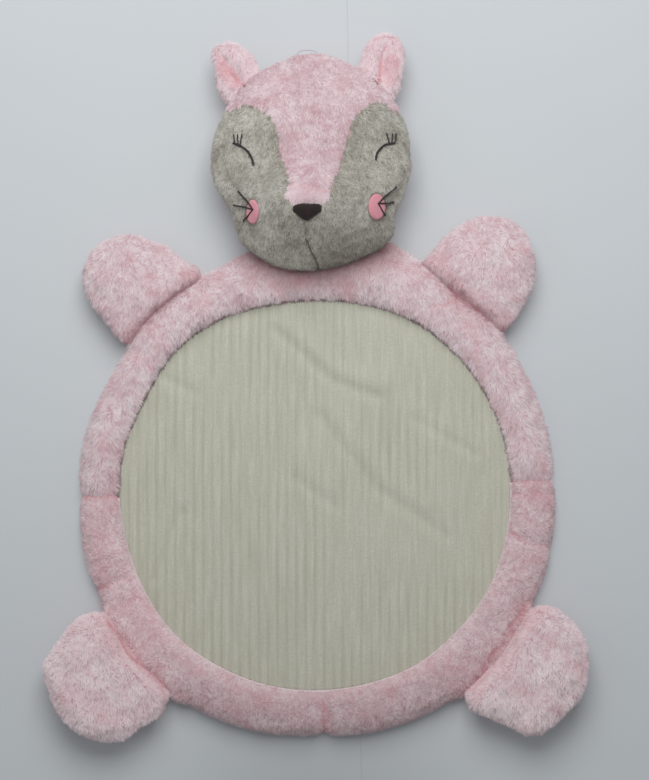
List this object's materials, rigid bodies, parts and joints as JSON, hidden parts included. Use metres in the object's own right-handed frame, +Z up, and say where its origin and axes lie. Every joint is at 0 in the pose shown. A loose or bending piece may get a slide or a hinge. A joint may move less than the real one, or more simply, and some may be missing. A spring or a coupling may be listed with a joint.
{
  "type": "plush play mat",
  "caption": "Round ribbed play mat in a padded plush rim, with a stuffed sleepy animal head and soft paws, laid flat on the floor.",
  "frame": {"origin": "centre of the round mat, on the floor", "axes": "+Y towards the head, +X towards the mat's right paws as seen from above, +Z up from the floor"},
  "size_m": [0.6086, 0.7967, 0.1143],
  "materials": {
    "pink_plush": "soft cut pile, 6 to 8 mm long",
    "grey_plush": "soft cut pile, 4 to 5 mm long",
    "pale_plush": "soft cut pile, 4 mm long",
    "ribbed_fleece": "ribbed fleece, matt",
    "nose_satin": "dark brown embroidery thread, slight sheen",
    "pink_satin": "satin with a stitched border",
    "inner_ear_plush": "short cut pile"
  },
  "bodies": {
    "root": {"centre_panel": "ribbed_fleece", "rim_upper": "pink_plush", "rim_lower_left": "pink_plush", "rim_lower_right": "pink_plush", "paw_front_left": "pink_plush", "paw_front_right": "pink_plush", "paw_hind_left": "pink_plush", "paw_hind_right": "pink_plush", "head_back": "pink_plush", "head_crown": "pink_plush", "head_cheek_left": "grey_plush", "head_cheek_right": "grey_plush", "muzzle_top": "pale_plush", "nose": "nose_satin", "cheek_disc_left": "pink_satin", "cheek_disc_right": "pink_satin", "ear_left": "pink_plush", "ear_left_inner": "inner_ear_plush", "ear_right": "pink_plush", "ear_right_inner": "inner_ear_plush"}
  },
  "joints": []
}
